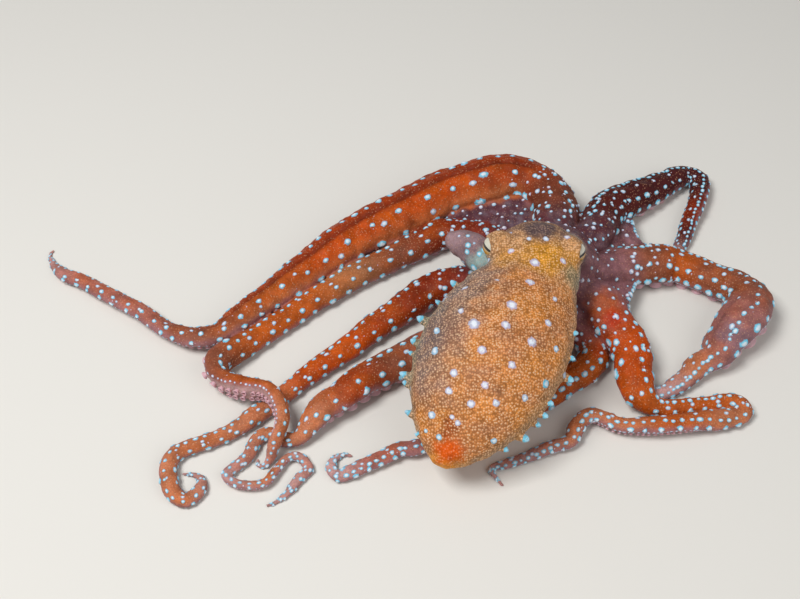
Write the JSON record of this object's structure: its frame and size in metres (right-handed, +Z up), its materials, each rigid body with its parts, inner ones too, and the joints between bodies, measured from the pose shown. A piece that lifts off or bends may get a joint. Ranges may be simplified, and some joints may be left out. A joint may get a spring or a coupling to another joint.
{
  "type": "white-spotted octopus model",
  "caption": "Life-size still model of a white-spotted octopus crawling with its mantle trailing, long arms spread and curled over the floor.",
  "frame": {"origin": "middle of the footprint, on the level that the arms lie on", "axes": "+X towards the animal's right, along the longest spread of the arms; +Y the way the head faces, away from the trailing mantle; +Z up"},
  "size_m": [0.3094, 0.1775, 0.0516],
  "materials": {
    "mantle_skin": "matt, finely granular skin with raised pale spots",
    "arm_skin": "moist skin, orange-red with raised white spots in rows",
    "siphon_skin": "smooth moist skin",
    "eye": "polished"
  },
  "bodies": {
    "root": {"arm_crown": "arm_skin", "arm_left_1_a": "arm_skin", "arm_left_1_b": "arm_skin", "arm_left_1_c": "arm_skin", "arm_left_1_d": "arm_skin", "arm_left_2_a": "arm_skin", "arm_left_2_b": "arm_skin", "arm_left_2_c": "arm_skin", "arm_left_2_d": "arm_skin", "arm_left_2_e": "arm_skin", "arm_left_3_a": "arm_skin", "arm_left_3_b": "arm_skin", "arm_left_3_c": "arm_skin", "arm_left_3_d": "arm_skin", "arm_left_4_a": "arm_skin", "arm_left_4_b": "arm_skin", "arm_left_4_c": "arm_skin", "arm_left_4_d": "arm_skin", "arm_left_4_e": "arm_skin", "arm_right_1_a": "arm_skin", "arm_right_1_b": "arm_skin", "arm_right_2_a": "arm_skin", "arm_right_2_b": "arm_skin", "arm_right_2_c": "arm_skin", "arm_right_3_a": "arm_skin", "arm_right_3_b": "arm_skin", "arm_right_3_c": "arm_skin", "arm_right_3_d": "arm_skin", "arm_right_3_e": "arm_skin", "arm_right_4_a": "arm_skin", "arm_right_4_b": "arm_skin", "arm_right_4_c": "arm_skin", "eye_left": "eye", "eye_right": "eye", "head": "mantle_skin", "mantle": "mantle_skin", "siphon": "siphon_skin"}
  },
  "joints": []
}
